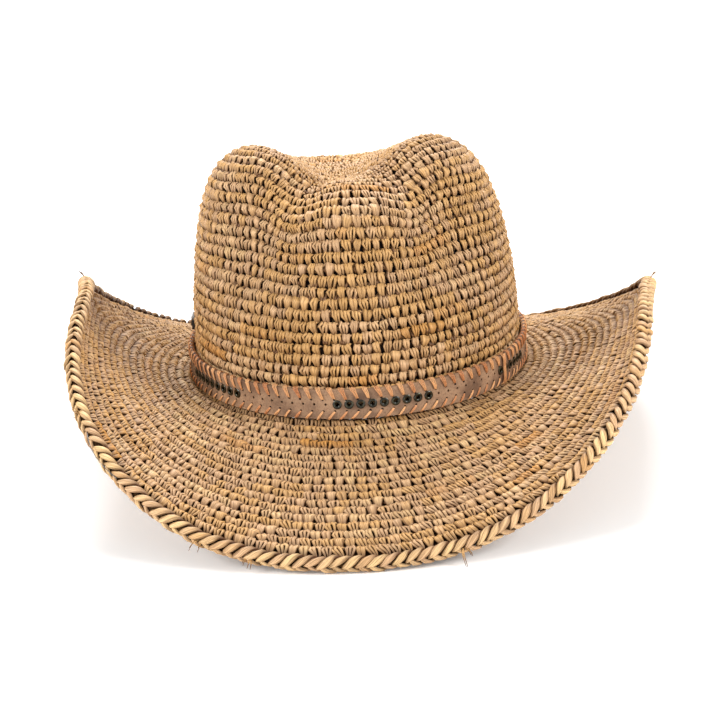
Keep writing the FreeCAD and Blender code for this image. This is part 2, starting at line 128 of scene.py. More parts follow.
def crownPoint(angle, climb):
    form = crownForm
    angle, climb = np.broadcast_arrays(np.asarray(angle, float), np.asarray(climb, float))
    point = plainDome(angle, climb)
    normal = surfaceNormal(plainDome, angle, climb)
    x, y, z = point[..., 0], point[..., 1], point[..., 2]
    forward = -y / form["halfLength"]
    share = np.minimum(z / form["height"], 1)
    level = z / form["height"] / (1 + form["topSlope"] * np.clip(forward, -1, 1) * share ** 2)
    yaw = math.radians(form["creaseYaw"])
    across = (x - form["creaseShift"]) * math.cos(yaw) + y * math.sin(yaw)
    power = mix(2.0, 3.5, smooth(forward, -0.2, 0.75))
    groove = np.exp(-0.5 * np.abs(across / form["creaseWidth"]) ** power)
    depth = (form["creaseBack"]
             + (form["creaseMiddle"] - form["creaseBack"]) * smooth(forward, -0.9, 0.0)
             + (form["creaseFront"] - form["creaseMiddle"]) * smooth(forward, 0.0, 0.8))
    face = np.where(forward > 0, form["frontHollow"] * smooth(level, 0.35, 0.85), 0)
    depth = mix(face, depth, smooth(level, 0.70, 0.97))
    moved = point - normal * (depth * groove)[..., None]
    radius = np.hypot(x, y)
    outward = np.stack([x / radius, y / radius, 0 * x], -1)
    for dent, tuck in form["dents"]:
        sideways = bell(angleFrom(angle, dent), math.radians(form["dentSpread"]))
        upright = bell(level - form["dentLevel"], form["dentRise"])
        moved = moved - outward * (form["dentDepth"] * sideways * upright)[..., None]
        fold = bell(angleFrom(angle, tuck), math.radians(form["tuckSpread"]))
        above = smooth(level, form["dentLevel"] - 0.2, form["dentLevel"] + 0.2)
        sink = form["tuckDrop"] * fold * above * smooth(radius, 0.025, 0.075)
        moved = moved - np.stack([0 * sink, 0 * sink, sink], -1)
    return moved


def crownInset(inset):
    return lambda angle, climb: (crownPoint(angle, climb)
                                 - surfaceNormal(crownPoint, angle, climb) * inset)


brimForm = {
    "wall": 0.0036, "front": 0.1038, "side": 0.080, "droop": 21.3, "startLeft": 9.7,
    "startRight": 7.3, "curlLeft": 80.9, "curlRight": 54.6, "tipCurl": 18.5, "curlShare": 1.36,
    "curlOnset": 1.38, "skewLeft": -7.1, "skewRight": -9.1, "edging": 0.0078,
}


def ovalNormal(angle):
    return unit(np.stack([np.sin(angle) / crownForm["halfWidth"],
                          -np.cos(angle) / crownForm["halfLength"], 0 * angle], -1))


def ovalPoint(angle, offset=0.0, height=0.0):
    angle = np.asarray(angle, float)
    flat = np.stack([crownForm["halfWidth"] * np.sin(angle),
                     -crownForm["halfLength"] * np.cos(angle), 0 * angle + height], -1)
    return flat + ovalNormal(angle) * offset


def brimWidth(angle):
    return mix(brimForm["front"], brimForm["side"], np.sin(angle) ** 2)


def brimSlope(angle, reach):
    form = brimForm
    rightness = smooth(np.sin(angle), -1, 1)
    skew = np.radians(mix(form["skewLeft"], form["skewRight"], rightness))
    sideShare = (np.sin(angle - skew * np.sin(angle)) ** 2) ** form["curlShare"]
    curl = mix(form["curlLeft"], form["curlRight"], rightness)
    start = mix(form["startLeft"], form["startRight"], rightness)
    side = (start + (curl - start) * np.maximum(reach, 0) ** form["curlOnset"]
            + form["tipCurl"] * smooth(reach, 0.7, 1.0))
    return np.radians(mix(-form["droop"], side, sideShare))


def brimPoint(angle, reach):
    angle, reach = np.broadcast_arrays(np.asarray(angle, float), np.asarray(reach, float))
    steps = 24
    point, normal = ovalPoint(angle), ovalNormal(angle)
    up = np.array([0, 0, 1.0])
    for step in range(steps):
        slope = brimSlope(angle, reach * (step + 0.5) / steps)[..., None]
        stride = (brimWidth(angle) * reach / steps)[..., None]
        point = point + normal * np.cos(slope) * stride + up * np.sin(slope) * stride
    return point


def brimUpward(angle, reach):
    return -surfaceNormal(brimPoint, angle, reach)


def brimInset(inset):
    return lambda angle, reach: brimPoint(angle, reach) - brimUpward(angle, reach) * inset


def edgeCentre(angle):
    angle = np.asarray(angle, float)
    return brimInset(brimForm["wall"] / 2)(angle, np.ones_like(angle))


def edgeAlong(angle):
    return unit(edgeCentre(angle + turnStep) - edgeCentre(angle - turnStep))


def edgeOutward(angle):
    return unit(brimPoint(angle, 1 + reachStep) - brimPoint(angle, 1 - reachStep))


# node graphs: one class wraps a socket, one builds nodes
class Wire:
    def __init__(self, graph, socket):
        self.graph, self.socket = graph, socket

    def calc(self, operation, first, second):
        return self.graph.node("ShaderNodeMath", {"operation": operation}, {0: first, 1: second})

    def __add__(self, other):
        return self.calc("ADD", self, other)

    def __radd__(self, other):
        return self.calc("ADD", other, self)

    def __sub__(self, other):
        return self.calc("SUBTRACT", self, other)

    def __rsub__(self, other):
        return self.calc("SUBTRACT", other, self)

    def __mul__(self, other):
        return self.calc("MULTIPLY", self, other)

    def __rmul__(self, other):
        return self.calc("MULTIPLY", other, self)

    def __abs__(self):
        return self.calc("ABSOLUTE", self, 0.0)


class Graph:
    def __init__(self, tree):
        self.tree = tree

    def node(self, kind, settings=None, sockets=None, output=0):
        made = self.tree.nodes.new(kind)
        for name, value in (settings or {}).items():
            if name == "stops":
                for place, colour in value[1:-1]:
                    made.color_ramp.elements.new(place)
                for element, (place, colour) in zip(made.color_ramp.elements, value):
                    element.position, element.color = place, (*colour, 1)
            else:
                setattr(made, name, value)
        for name, value in (sockets or {}).items():
            if isinstance(value, Wire):
                self.tree.links.new(value.socket, made.inputs[name])
            else:
                made.inputs[name].default_value = value
        return Wire(self, made.outputs[output]) if made.outputs else None

    def smoothStep(self, value, low, high):
        return self.node("ShaderNodeMapRange", {"interpolation_type": "SMOOTHSTEP"},
                         {"Value": value, "From Min": low, "From Max": high})

    def blend(self, factor, first, second):
        paint = [value if isinstance(value, Wire) else (*value, 1) for value in (first, second)]
        return self.node("ShaderNodeMix", {"data_type": "RGBA"},
                         {0: factor, 6: paint[0], 7: paint[1]}, 2)

    def vector(self, x, y, z):
        return self.node("ShaderNodeCombineXYZ", None, {"X": x, "Y": y, "Z": z})

    def part(self, vector, axis):
        return self.node("ShaderNodeSeparateXYZ", None, {0: vector}, axis)

    def noise(self, place, scale, detail=3.0, rough=0.55):
        return self.node("ShaderNodeTexNoise", None, {"Vector": place, "Scale": scale,
                                                      "Detail": detail, "Roughness": rough})

    def attribute(self, name):
        return self.node("ShaderNodeAttribute", {"attribute_name": name}, None, "Fac")

    def objectPlace(self):
        return self.node("ShaderNodeTexCoord", None, None, "Object")


def newMaterial(name):
    material = bpy.data.materials.new(name)
    material.use_nodes = True
    material.node_tree.nodes.clear()
    return material, Graph(material.node_tree)


def finishMaterial(graph, sockets, bump=None, distance=0.0002, strength=1.0):
    shaderSockets = dict(sockets)
    if bump is not None:
        shaderSockets["Normal"] = graph.node("ShaderNodeBump", None, {
            "Height": bump, "Distance": distance, "Strength": strength})
    shader = graph.node("ShaderNodeBsdfPrincipled", None, shaderSockets)
    graph.node("ShaderNodeOutputMaterial", None, {"Surface": shader})


def srgb(red, green, blue):
    return tuple((value / 255 / 12.92) if value < 11 else ((value / 255 + 0.055) / 1.055) ** 2.4
                 for value in (red, green, blue))


# materials
# shade is the dark colour of the fibre lines and of the painted shade at each strand's edges, foot and
# tucked start
raffiaLook = {
    "pale": srgb(238, 198, 140), "tan": srgb(224, 176, 114), "straw": srgb(208, 160, 96),
    "rosy": srgb(218, 176, 132), "amber": srgb(214, 148, 62), "shade": srgb(84, 48, 16),
    "amberShare": 0.75, "lineShade": 0.6, "rimShade": 0.5, "footShade": 0.85, "tuckShade": 0.45,
    "fibreRelief": 0.00012, "roughness": 0.6,
}


def makeRaffia(name, lighten=0.0):
    # across and run are places on one strand; tone and warmth follow the guide, speck each copy
    look = raffiaLook
    material, graph = newMaterial(name)
    across, run = graph.attribute("across"), graph.attribute("run")
    tone, warmth = graph.attribute("tone"), graph.attribute("warmth")
    speck = graph.attribute("speck")
    strand = graph.vector(across * 2.2 + speck * 31, run * 0.5 + speck * 7, speck * 13)
    fibre = graph.noise(strand, 2.6, 4.0, 0.6)
    wide = graph.noise(graph.objectPlace(), 22.0, 2.0, 0.5)
    shades = graph.node("ShaderNodeValToRGB", {"stops": [
        (0.0, look["straw"]), (0.35, look["tan"]), (0.62, look["rosy"]), (1.0, look["pale"])]},
        {0: tone * 0.5 + (wide - 0.5) * 0.7 + speck * 0.4 + lighten})
    coloured = graph.blend(warmth * look["amberShare"], shades, look["amber"])
    lines = graph.smoothStep(fibre, 0.36, 0.62)
    lined = graph.blend((1 - lines) * look["lineShade"], coloured, look["shade"])
    # rim, foot and tuck are painted shade: each strand darkens towards its edges, its foot and its
    # tucked-in start, where the strands beside and above it would shade it
    rim = graph.smoothStep(abs(across), 0.45, 1.0)
    foot = graph.smoothStep(run, 0.4, 0.95)
    tuck = 1 - graph.smoothStep(run, 0.0, 0.2)
    shaded = rim * look["rimShade"] + foot * look["footShade"] + tuck * look["tuckShade"]
    paintedShadeShare = graph.node("ShaderNodeMath", {"operation": "MINIMUM"}, {0: shaded, 1: 1.0})
    paintedShadeColour = graph.blend(paintedShadeShare, lined, look["shade"])
    finishMaterial(graph, {"Base Color": paintedShadeColour, "Roughness": look["roughness"] - lines * 0.1,
                           "Specular IOR Level": 0.35},
                   fibre, look["fibreRelief"], 0.9)
    return material


# a dark material of painted shade, for the sheets and discs that stand for the shade in gaps and holes
def makeGapShade(name, deep, light):
    material, graph = newMaterial(name)
    patch = graph.noise(graph.objectPlace(), 300.0, 3.0, 0.6)
    colour = graph.blend(graph.smoothStep(patch, 0.35, 0.7), deep, light)
    finishMaterial(graph, {"Base Color": colour, "Roughness": 0.95, "Specular IOR Level": 0.1},
                   patch, 0.0003)
    return material


leatherLook = {"tan": srgb(172, 138, 108), "brown": srgb(104, 78, 60), "pore": srgb(96, 66, 48),
               "grainScale": 900.0, "poreScale": 1500.0, "patchScale": 60.0, "relief": 0.00012}


def makeLeather():
    look = leatherLook
    material, graph = newMaterial("BandLeather")
    place = graph.objectPlace()
    grain = graph.node("ShaderNodeTexVoronoi", {"feature": "SMOOTH_F1"},
                       {"Vector": place, "Scale": look["grainScale"]})
    pores = graph.noise(place, look["poreScale"], 2.0, 0.6)
    patch = graph.noise(place, look["patchScale"], 4.0, 0.6)
    colour = graph.blend(graph.smoothStep(patch, 0.3, 0.72), look["brown"], look["tan"])
    colour = graph.blend(graph.smoothStep(pores, 0.5, 0.7) * 0.6, colour, look["pore"])
    relief = grain * 0.7 + pores * 0.5
    finishMaterial(graph, {"Base Color": colour, "Roughness": 0.55 + patch * 0.15,
                           "Specular IOR Level": 0.4}, relief, look["relief"])
    return material


# the tab's top edge turns grey between these two heights
tabLook = {"dark": srgb(40, 36, 34), "worn": srgb(120, 116, 112), "deep": srgb(20, 18, 16),
           "wornFrom": 0.0728, "wornTo": 0.0742, "grainScale": 1500.0}


def makeDarkLeather():
    look = tabLook
    material, graph = newMaterial("TabLeather")
    place = graph.objectPlace()
    grain = graph.noise(place, look["grainScale"], 3.0, 0.6)
    high = graph.smoothStep(graph.part(place, 2), look["wornFrom"], look["wornTo"])
    colour = graph.blend(high, look["dark"], look["worn"])
    colour = graph.blend(grain * 0.3, colour, look["deep"])
    finishMaterial(graph, {"Base Color": colour, "Roughness": 0.5 + grain * 0.1}, grain, 0.0001)
    return material


def makeCord(name, light, deep):
    material, graph = newMaterial(name)
    across, run = graph.attribute("across"), graph.attribute("run")
    speck = graph.attribute("speck")
    place = graph.vector(across * 2.0 + speck * 17, run * 3.0 + across, speck * 5)
    fibre = graph.noise(place, 5.0, 3.0, 0.6)
    colour = graph.blend(graph.smoothStep(fibre + speck * 0.2, 0.35, 0.8), deep, light)
    finishMaterial(graph, {"Base Color": colour, "Roughness": 0.45 + fibre * 0.1},
                   fibre, 0.0001)
    return material


def makeThread(name, light, deep):
    material, graph = newMaterial(name)
    twist = graph.noise(graph.objectPlace(), 2600.0, 2.0, 0.6)
    colour = graph.blend(twist, deep, light)
    finishMaterial(graph, {"Base Color": colour, "Roughness": 0.7}, twist, 0.0001)
    return material


def makeMetal(name, light, deep, metallic, roughness, coat=0.0):
    material, graph = newMaterial(name)
    place = graph.objectPlace()
    wear = graph.noise(place, 700.0, 4.0, 0.65)
    colour = graph.blend(graph.smoothStep(wear, 0.45, 0.7), deep, light)
    finishMaterial(graph, {"Base Color": colour, "Metallic": metallic,
                           "Roughness": roughness + wear * 0.15, "Coat Weight": coat},
                   wear, 0.00005)
    return material


twillLook = {"valley": srgb(196, 176, 142), "rib": srgb(226, 212, 184),
             "dust": srgb(170, 146, 110), "dustShare": 0.4, "relief": 0.00015}


def makeTwill():
    look = twillLook
    material, graph = newMaterial("SweatbandTwill")
    along, rise = graph.attribute("across"), graph.attribute("run")
    ribs = graph.node("ShaderNodeTexWave", {"wave_type": "BANDS", "bands_direction": "DIAGONAL"},
                      {"Vector": graph.vector(along, rise, 0.0), "Scale": 1.0,
                       "Distortion": 0.3, "Detail": 1.0})
    dust = graph.noise(graph.objectPlace(), 90.0, 4.0, 0.6)
    colour = graph.blend(ribs, look["valley"], look["rib"])
    dusty = graph.smoothStep(dust, 0.5, 0.8) * look["dustShare"]
    colour = graph.blend(dusty, colour, look["dust"])
    finishMaterial(graph, {"Base Color": colour, "Roughness": 0.85}, ribs, look["relief"])
    return material


finishes = {
    "raffia": makeRaffia("Raffia"),
    "brimRaffia": makeRaffia("BrimRaffia", 0.08),
    "edging": makeRaffia("EdgingRaffia", 0.25),
    "core": makeGapShade("CrownGapShade", srgb(22, 19, 24), srgb(46, 34, 24)),
    "brimGapShade": makeGapShade("BrimGapShade", srgb(26, 17, 10), srgb(66, 44, 20)),
    "leather": makeLeather(),
    "darkLeather": makeDarkLeather(),
    "lacing": makeCord("LacingCord", srgb(246, 192, 134), srgb(176, 92, 44)),
    "thread": makeThread("SewingThread", srgb(150, 118, 84), srgb(104, 74, 46)),
    "eyelet": makeMetal("EyeletLacquer", srgb(64, 62, 38), srgb(30, 30, 20), 0.75, 0.28, 0.5),
    "wire": makeMetal("WireSteel", srgb(160, 160, 160), srgb(110, 110, 112), 1.0, 0.3),
    "sleeve": makeMetal("SleeveBrass", srgb(200, 168, 100), srgb(140, 108, 60), 1.0, 0.35),
    "twill": makeTwill(),
}
print("materials made")


# mesh helpers
def plainObject(name, mesh, material):
    piece = bpy.data.objects.new(name, mesh)
    bpy.context.scene.collection.objects.link(piece)
    if material is not None:
        mesh.materials.clear()
        mesh.materials.append(material)
    return piece


def meshFrom(name, points, faces, fields=None):
    mesh = bpy.data.meshes.new(name)
    mesh.from_pydata(np.asarray(points).tolist(), [], faces)
    for field, values in (fields or {}).items():
        values = np.asarray(values, np.float32)
        vectors = values.ndim == 2
        layer = mesh.attributes.new(field, "FLOAT_VECTOR" if vectors else "FLOAT", "POINT")
        layer.data.foreach_set("vector" if vectors else "value", values.ravel())
    mesh.polygons.foreach_set("use_smooth", [True] * len(mesh.polygons))
    mesh.update()
    return mesh


def turnOutward(mesh):
    work = bmesh.new()
    work.from_mesh(mesh)
    bmesh.ops.recalc_face_normals(work, faces=work.faces[:])
    work.to_mesh(mesh)
    work.free()
    return mesh


def closedGrid(name, rings, material, fields=None):
    count, across = rings.shape[:2]
    faces = [(i * across + j, (i + 1) % count * across + j,
              (i + 1) % count * across + (j + 1) % across, i * across + (j + 1) % across)
             for i in range(count) for j in range(across)]
    mesh = turnOutward(meshFrom(name, rings.reshape(-1, 3), faces, fields))
    return plainObject(name, mesh, material)


def smoothPath(points, count):
    points = np.asarray(points, float)
    padded = np.vstack([2 * points[0] - points[1], points, 2 * points[-1] - points[-2]])
    places = np.linspace(0, len(points) - 1, count)
    found = []
    for place in places:
        index = min(int(place), len(points) - 2)
        share = place - index
        a, b, c, d = padded[index:index + 4]
        found.append(b + 0.5 * share * (c - a + share * (2 * a - 5 * b + 4 * c - d
                                                         + share * (3 * (b - c) + d - a))))
    return np.array(found)


def strandTube(path, halfWidths, thickness, section, facing=(0, 0, 1)):
    path = np.asarray(path, float)
    tangents = unit(np.gradient(path, axis=0))
    side = unit(np.cross(tangents, np.asarray(facing, float)))
    front = np.cross(side, tangents)
    depth = np.broadcast_to(thickness, len(path))
    points = [centre + side[i] * (x * halfWidths[i]) + front[i] * (y * depth[i])
              for i, centre in enumerate(path) for x, y in section]
    sides, rings = len(section), len(path)
    faces = [(i * sides + j, i * sides + (j + 1) % sides,
              (i + 1) * sides + (j + 1) % sides, (i + 1) * sides + j)
             for i in range(rings - 1) for j in range(sides)]
    faces += [tuple(range(sides))[::-1], tuple((rings - 1) * sides + j for j in range(sides))]
    across = [x for _ in path for x, _ in section]
    run = [i / (rings - 1) for i in range(rings) for _ in section]
    return points, faces, across, run


def joinStrands(name, strands):
    points, faces, across, run = [], [], [], []
    for one in strands:
        base = len(points)
        points += list(one[0])
        faces += [tuple(base + corner for corner in face) for face in one[1]]
        across += one[2]
        run += one[3]
    mesh = meshFrom(name, points, faces, {"across": across, "run": run})
    return turnOutward(mesh)


# one geometry node tree lays copies of small shapes on a guide
def makePlacingTree():
    tree = bpy.data.node_groups.new("Lay shapes along a guide", "GeometryNodeTree")
    sockets = [("Guide", "Geometry"), ("Shapes", "Collection"), ("Finish", "Material"),
               ("Shape count", "Int"), ("Depth", "Float"), ("Turn jitter", "Float"),
               ("Size jitter", "Float"), ("Shift jitter", "Float"), ("Seed", "Int")]
    for name, kind in sockets:
        tree.interface.new_socket(name, in_out="INPUT", socket_type="NodeSocket" + kind)
    tree.interface.new_socket("Pieces", in_out="OUTPUT", socket_type="NodeSocketGeometry")
    graph = Graph(tree)
    entry = tree.nodes.new("NodeGroupInput")
    given = {name: Wire(graph, entry.outputs[name]) for name, _ in sockets}

    def field(name, kind):
        return graph.node("GeometryNodeInputNamedAttribute", {"data_type": kind}, {"Name": name})

    # Random Value's sockets by number: 2 and 3 are the float's ends, 4 and 5 the integer's, 8 the seed
    def chance(low, high, salt):
        return graph.node("FunctionNodeRandomValue", {"data_type": "FLOAT"},
                          {2: low, 3: high, 8: given["Seed"] + salt}, 1)

    shapes = graph.node("GeometryNodeCollectionInfo", None, {
        "Collection": given["Shapes"], "Separate Children": True, "Reset Children": True})
    turn = graph.node("FunctionNodeAxesToRotation",
                      {"primary_axis": "Z", "secondary_axis": "X"},
                      {0: field("outward", "FLOAT_VECTOR"), 1: field("along", "FLOAT_VECTOR")})
    size = graph.vector(field("wide", "FLOAT"), field("tall", "FLOAT"), given["Depth"])
    pick = graph.node("FunctionNodeRandomValue", {"data_type": "INT"},
                      {4: 0, 5: given["Shape count"] - 1, 8: given["Seed"]}, 2)
    laid = graph.node("GeometryNodeInstanceOnPoints", None, {
        "Points": given["Guide"], "Instance": shapes, "Pick Instance": True,
        "Instance Index": pick, "Rotation": turn, "Scale": size})
    angle = given["Turn jitter"]
    laid = graph.node("GeometryNodeRotateInstances", None, {
        "Instances": laid, "Rotation": graph.vector(
            chance(-0.5, 0.5, 1) * angle, chance(-0.5, 0.5, 2) * angle,
            chance(-1.0, 1.0, 3) * angle)})
    grow = given["Size jitter"]
    laid = graph.node("GeometryNodeScaleInstances", None, {
        "Instances": laid, "Scale": graph.vector(
            1.0 + chance(-1.0, 1.0, 4) * grow, 1.0 + chance(-1.0, 1.0, 5) * grow,
            1.0 + chance(-1.0, 1.0, 6) * grow)})
    slide = given["Shift jitter"]
    laid = graph.node("GeometryNodeTranslateInstances", None, {
        "Instances": laid, "Translation": graph.vector(
            chance(-1.0, 1.0, 7) * slide, chance(-1.0, 1.0, 8) * slide,
            chance(-1.0, 1.0, 9) * slide)})
    laid = graph.node("GeometryNodeStoreNamedAttribute",
                      {"data_type": "FLOAT", "domain": "INSTANCE"},
                      {"Geometry": laid, "Name": "speck", "Value": chance(0.0, 1.0, 10)})
    for name in ("along", "outward", "wide", "tall"):
        laid = graph.node("GeometryNodeRemoveAttribute", None, {"Geometry": laid, "Name": name})
    laid = graph.node("GeometryNodeRealizeInstances", None, {"Geometry": laid})
    laid = graph.node("GeometryNodeSetMaterial", None,
                      {"Geometry": laid, "Material": given["Finish"]})
    graph.node("NodeGroupOutput", None, {"Pieces": laid})
    return tree


placingTree = makePlacingTree()
socketOf = {item.name: item.identifier for item in placingTree.interface.items_tree
            if item.in_out == "INPUT"}


def shapeCollection(name, meshes):
    group = bpy.data.collections.new(name)
    for index, mesh in enumerate(meshes):
        group.objects.link(bpy.data.objects.new("%s_%02d" % (name, index), mesh))
    return group


def layShapes(name, guide, shapes, material, settings):
    points = guide.pop("point")
    carrier = plainObject(name + "Guide", meshFrom(name, points, [], guide), None)
    modifier = carrier.modifiers.new("Lay", "NODES")
    modifier.node_group = placingTree
    values = {"Shapes": shapes, "Finish": material, "Shape count": len(shapes.objects),
              **settings}
    for title, value in values.items():
        modifier[socketOf[title]] = value
    graph = bpy.context.evaluated_depsgraph_get()
    mesh = bpy.data.meshes.new_from_object(carrier.evaluated_get(graph), depsgraph=graph)
    mesh.name = name
    bpy.data.objects.remove(carrier)
    piece = bpy.data.objects.new(name, mesh)
    bpy.context.scene.collection.objects.link(piece)
    print(" ", name, len(points), "copies,", len(mesh.polygons), "faces")
    return piece


# crochet stitches: a few fingers of raffia that bulge at the top and dive at the foot
stitchForm = {
    "fingers": [(-1, 0, 1), (-0.62, 0.62), (-1, 0.1, 1), (-0.7, 0.55), (-1, -0.1, 1),
                (-0.95, 0.05, 0.95), (0.0,), (-0.55, 0.7)],
    "crest": [(0.08, 0.12, 0.44, 0.00), (0.04, 0.26, 0.58, 0.26), (0.0, 0.34, 0.40, 0.54),
              (0.0, 0.31, 0.06, 0.50), (0.0, 0.22, -0.28, 0.14), (0.0, 0.12, -0.68, -0.46)],
    "bridge": [(0.16, 0.44, 0.20), (0.42, 0.55, 0.30), (0.62, 0.50, 0.04)],
    "rings": 5, "fill": 0.47, "thick": 0.18, "wobble": 0.05, "sway": 0.11, "seed": 4,
    "arch": 0.06, "taperAt": [0, 0.25, 0.7, 1], "taper": [0.8, 1.15, 0.85, 0.4],
    "bridgeWidths": [0.09, 0.13, 0.07], "bridgeThick": 0.13, "variants": 11,
    "crownLean": 0.12, "brimLean": 0.28, "plainKinds": (21, 23, 27),
}
flatSection = [(-1.0, -0.2), (-0.55, 0.8), (0.55, 0.8), (1.0, -0.2), (0.0, -0.9)]
thinSection = [(-1.0, 0.0), (0.0, 1.0), (1.0, 0.0), (0.0, -1.0)]
roundSection = [(math.cos(fullTurn * k / 6), math.sin(fullTurn * k / 6)) for k in range(6)]


def makeStitch(index, lean, plain=False):
    form = stitchForm
    chance = np.random.default_rng(form["seed"] + index)
    fingers = form["fingers"][index % len(form["fingers"])]
    half = form["fill"] / len(fingers)
    lean = lean + chance.normal(0, form["sway"])
    strands = []
    for finger in fingers:
        path = np.array([(start + spread * finger, rise, depth)
                         for start, spread, rise, depth in form["crest"]])
        path = path + chance.normal(0, form["wobble"], path.shape) * (1, 1, 0.7)
        path[:, 0] -= lean * path[:, 1]
        path[:, 2] -= form["arch"] * finger * finger
        path = smoothPath(path, form["rings"])
        widths = half * chance.uniform(0.9, 1.1) * np.interp(
            np.linspace(0, 1, form["rings"]), form["taperAt"], form["taper"])
        strands.append(strandTube(path, widths, form["thick"], flatSection))
    if not plain:
        path = np.array(form["bridge"]) + chance.normal(0, form["wobble"], (3, 3))
        strands.append(strandTube(smoothPath(path, 3), form["bridgeWidths"],
                                  form["bridgeThick"], thinSection))
    return joinStrands("stitch", strands)


def makeShapes():
    form = stitchForm
    many = form["variants"]
    return {
        "crown": shapeCollection("crownStitch", [makeStitch(index, form["crownLean"])
                                                 for index in range(many)]),
        "brim": shapeCollection("brimStitch", [makeStitch(index, form["brimLean"])
                                               for index in range(many, 2 * many)]),
        "plain": shapeCollection("plainStitch", [makeStitch(index, 0.0, True)
                                                 for index in form["plainKinds"]]),
    }


shapes = makeShapes()
# how a row of stitches varies: stretches share a tone, and a few are amber
rowForm = {"samples": 1441, "fewest": 6, "stretch": (3, 13), "amberChance": 0.05,
           "amberMost": 5, "amber": (0.2, 1.0)}


def layRow(surface, low, high, spacing, flip, chance):
    form = rowForm
    fine = np.linspace(0, fullTurn, form["samples"])
    middle = (low + high) / 2
    ring = surface(fine, middle)
    lengths = lengthsAlong(ring)
    count = max(form["fewest"], round(lengths[-1] / spacing))
    places = (np.arange(count) + chance.random()) / count % 1.0 * lengths[-1]
    angle = np.interp(places, lengths, fine)
    along = surface(angle + turnStep, middle) - surface(angle - turnStep, middle)
    along = -along if flip else along
    upward = surface(angle, high) - surface(angle, low)
    tone, warmth = np.zeros(count), np.zeros(count)
    place = 0
    while place < count:
        stretch = int(chance.integers(*form["stretch"]))
        tone[place:place + stretch] = chance.random()
        if chance.random() < form["amberChance"]:
            warmth[place:place + min(stretch, form["amberMost"])] = chance.uniform(*form["amber"])
        place += stretch
    tall = np.linalg.norm(upward, axis=1)
    return {"point": surface(angle, middle), "along": unit(along),
            "outward": unit(np.cross(along, upward)), "wide": np.full(count, lengths[-1] / count),
            "tall": tall, "tone": tone, "warmth": warmth, "angle": angle,
            "level": np.full(count, middle)}


def joinRows(rows):
    return {field: np.concatenate([row[field] for row in rows]) for field in rows[0]}


def choose(guide, mask=slice(None), drop=("angle", "level")):
    return {field: values[mask] for field, values in guide.items() if field not in drop}


def lift(guide, distance):
    guide["point"] = guide["point"] + guide["outward"] * distance + headCentre
    return guide


sectorNames = ("front", "left", "back", "right")


def laySectors(prefix, guide, kinds, finish, settings):
    sector = np.floor((guide["angle"] / fullTurn + 1 / 8) % 1 * 4)
    for index, side in enumerate(sectorNames):
        piece = layShapes("%s_%s" % (prefix, side), choose(guide, sector == index), shapes[kinds],
                          finishes[finish], {**settings, "Seed": settings["Seed"] + index})
        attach(piece, "root")


def stretchGuide(guide, form):
    guide["wide"] = guide["wide"] * form["overlapWide"]
    guide["tall"] = guide["tall"] * form["overlapTall"]
    return lift(guide, form["lift"])


jitter = {"Turn jitter": 0.17, "Size jitter": 0.13, "Shift jitter": 0.00028}
crownRows = {"spacing": 0.0051, "pitch": 0.0053, "overlapWide": 1.01, "overlapTall": 0.97,
             "depth": 0.0034, "lift": -0.0015, "topShare": 0.7, "seed": 11,
             "liningSpacing": 0.0072, "liningPitch": 0.0066, "liningDepth": 0.8,
             "liningRowSeed": 61, "liningSeed": 77}


def crownClimbs(pitch):
    # climbs that split the mean length up the dome into rows of even pitch
    samples, meridians = 800, 8
    climbs = np.linspace(0, topClimb, samples)
    total = np.zeros(samples)
    for angle in np.linspace(0, fullTurn, meridians, endpoint=False):
        total += lengthsAlong(plainDome(np.full(samples, angle), climbs)) / meridians
    rows = round(total[-1] / pitch)
    return np.interp(np.linspace(0, total[-1], rows + 1), total, climbs)


def makeCrownStitches():
    form = crownRows
    chance = np.random.default_rng(form["seed"])
    climbs = crownClimbs(form["pitch"])
    rows = [layRow(crownPoint, low, high, form["spacing"], False, chance)
            for low, high in zip(climbs, climbs[1:])]
    guide = stretchGuide(joinRows(rows), form)
    top = guide["level"] > climbs[int(len(climbs) * form["topShare"])]
    settings = {"Depth": form["depth"], "Seed": form["seed"], **jitter}
    laySectors("crown", choose(guide, ~top, ()), "crown", "raffia", settings)
    piece = layShapes("crown_top", choose(guide, top), shapes["crown"], finishes["raffia"],
                      settings)
    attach(piece, "root")


def makeCrownLining():
    form = crownRows
    chance = np.random.default_rng(form["liningRowSeed"])
    climbs = crownClimbs(form["liningPitch"])
    rows = [layRow(crownInset(crownForm["wall"]), low, high, form["liningSpacing"], True, chance)
            for low, high in zip(climbs, climbs[1:-1])]
    guide = stretchGuide(joinRows(rows), form)
    piece = layShapes("crown_inside", choose(guide), shapes["plain"],
                      finishes["raffia"], {"Depth": form["depth"] * form["liningDepth"],
                                           "Seed": form["liningSeed"], **jitter})
    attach(piece, "root")


# a thin dark shell of painted shade between the outer and inner stitches, which shows in the gaps
crownGapShadeForm = {"outside": 0.0021, "inside": 0.0026, "firstClimb": 0.003, "around": 160,
                 "levels": 60}


def makeCrownGapShade():
    form = crownGapShadeForm
    angles = np.linspace(0, fullTurn, form["around"], endpoint=False)[:, None]
    climbs = np.linspace(form["firstClimb"], topClimb, form["levels"])[None, :]
    outside = crownInset(form["outside"])(angles, climbs)
    inside = crownInset(form["inside"])(angles, climbs)
    rings = np.concatenate([outside, inside[:, ::-1]], axis=1) + headCentre
    core = closedGrid("crown_core", rings, finishes["core"])
    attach(core, "root")
    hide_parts("crown")


# the round start of the work: a small knot of strands that closes the crown's middle
tipForm = {"strands": 6, "reach": 0.0035, "rise": 0.0012, "shares": (0.0, 0.25, 0.5, 0.8, 1.1),
           "halfWidths": [0.0006, 0.0011, 0.0013, 0.0011, 0.0006], "thick": 0.0006,
           "shade": {"tone": 0.4, "warmth": 0.0, "speck": 0.5}}


